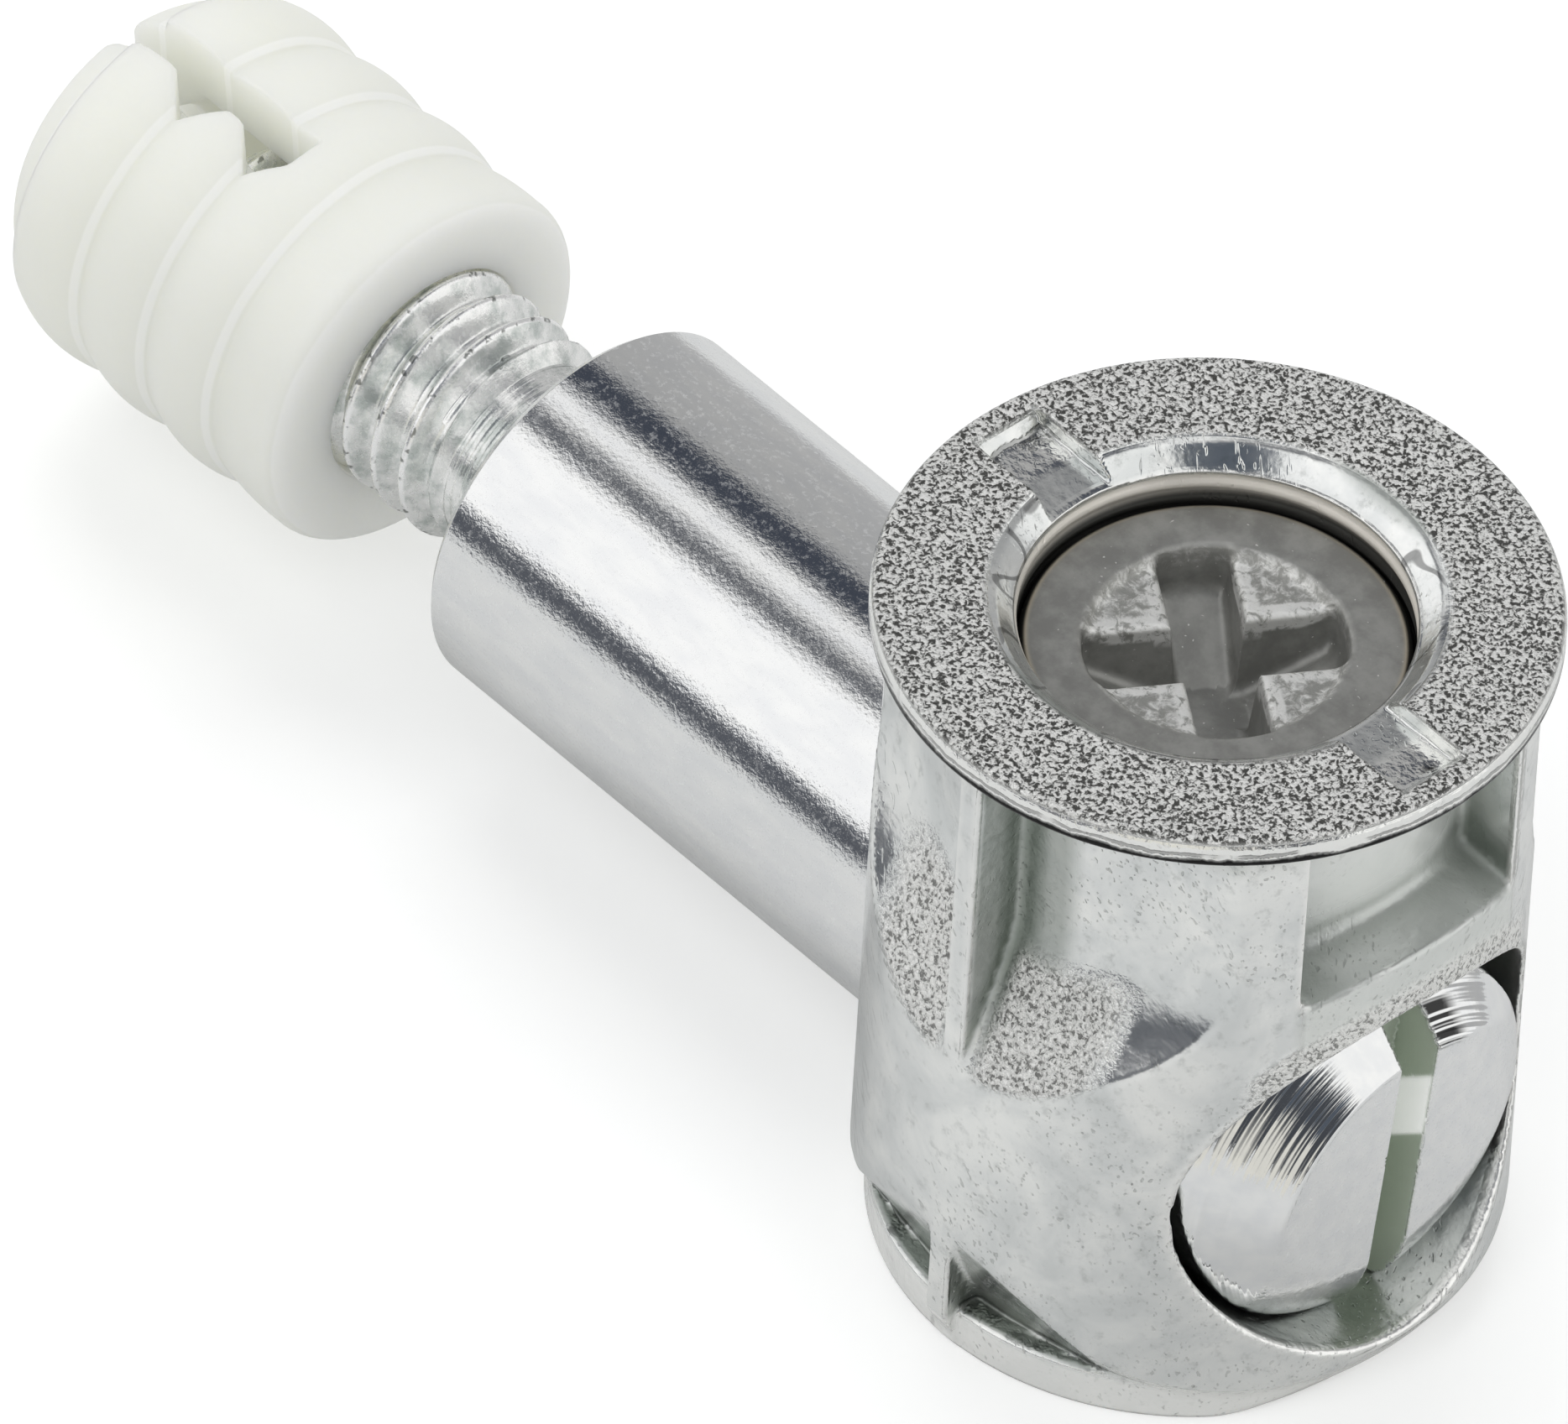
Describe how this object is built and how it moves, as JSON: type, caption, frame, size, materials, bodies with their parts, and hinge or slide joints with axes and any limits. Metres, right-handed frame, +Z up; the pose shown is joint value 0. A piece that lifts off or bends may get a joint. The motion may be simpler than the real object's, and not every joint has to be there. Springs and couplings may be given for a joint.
{
  "type": "cross dowel nut",
  "caption": "Die-cast cross dowel nut with its grub screw, and the connecting bolt with nylon dowel that it holds and draws in.",
  "frame": {"origin": "centre of the housing's foot, the face that meets the bottom of its drilling", "axes": "+Z up the housing's axis to its rim, +X along the bolt towards its slotted head"},
  "size_m": [0.0461, 0.0164, 0.0199],
  "materials": {
    "zinc_casting": "satin",
    "dark_steel": "satin",
    "plated_steel": "gloss",
    "nylon": "satin"
  },
  "bodies": {
    "housing": {"housing": "zinc_casting"},
    "grub_screw": {"grub_screw": "dark_steel"},
    "bolt": {"bolt": "plated_steel"},
    "dowel": {"dowel": "nylon"}
  },
  "joints": [
    {"name": "screw_travel", "type": "slide", "parent": "housing", "child": "grub_screw", "axis": [0, 0, 1], "range_m": [-0.001, 0.0015]},
    {"name": "bolt_draw", "type": "slide", "parent": "housing", "child": "bolt", "axis": [1, 0, 0], "range_m": [-0.0015, 0.001]},
    {"name": "dowel_turn", "type": "hinge", "parent": "bolt", "child": "dowel", "pos_m": [-0.0325, 0, 0.00655], "axis": [1, 0, 0], "continuous": true}
  ],
  "couplings": [
    {"joint": "bolt_draw", "follows": "screw_travel", "ratio": -1}
  ]
}
